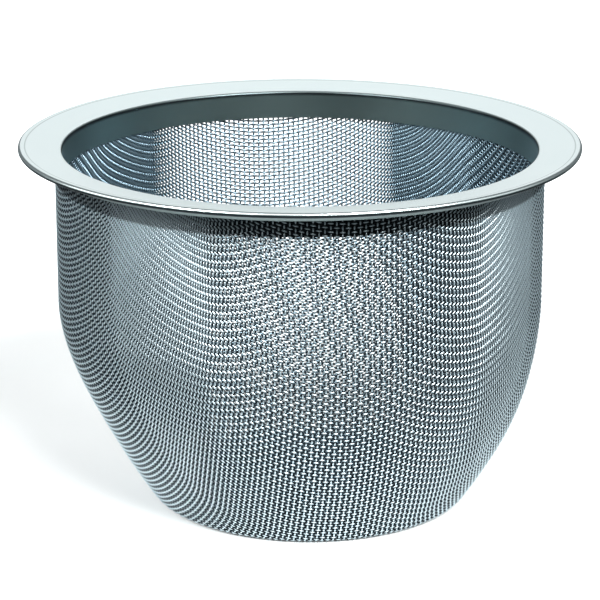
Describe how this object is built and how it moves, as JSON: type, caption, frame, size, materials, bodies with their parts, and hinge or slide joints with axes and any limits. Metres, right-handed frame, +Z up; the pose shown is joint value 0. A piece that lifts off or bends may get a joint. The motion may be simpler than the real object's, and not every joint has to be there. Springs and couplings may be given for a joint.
{
  "type": "tea strainer basket",
  "caption": "Deep basket strainer: a woven wire mesh bag hung from a flat stainless rim that rests on the mouth of a pot.",
  "frame": {"origin": "on the axis, in the plane of the flat seat under the clamp ring, which is where the strainer rests on a pot's mouth", "axes": "+Z up along the axis, out of the open mouth; +X is the side the bag's lower half leans to; +Y is square to both"},
  "size_m": [0.09, 0.09, 0.0592],
  "materials": {
    "rim_steel": "satin",
    "clamp_steel": "satin",
    "wire_mesh": "bright drawn wire"
  },
  "bodies": {
    "root": {"rim_ring": "rim_steel", "clamp_ring": "clamp_steel", "mesh_bag": "wire_mesh"}
  },
  "joints": []
}
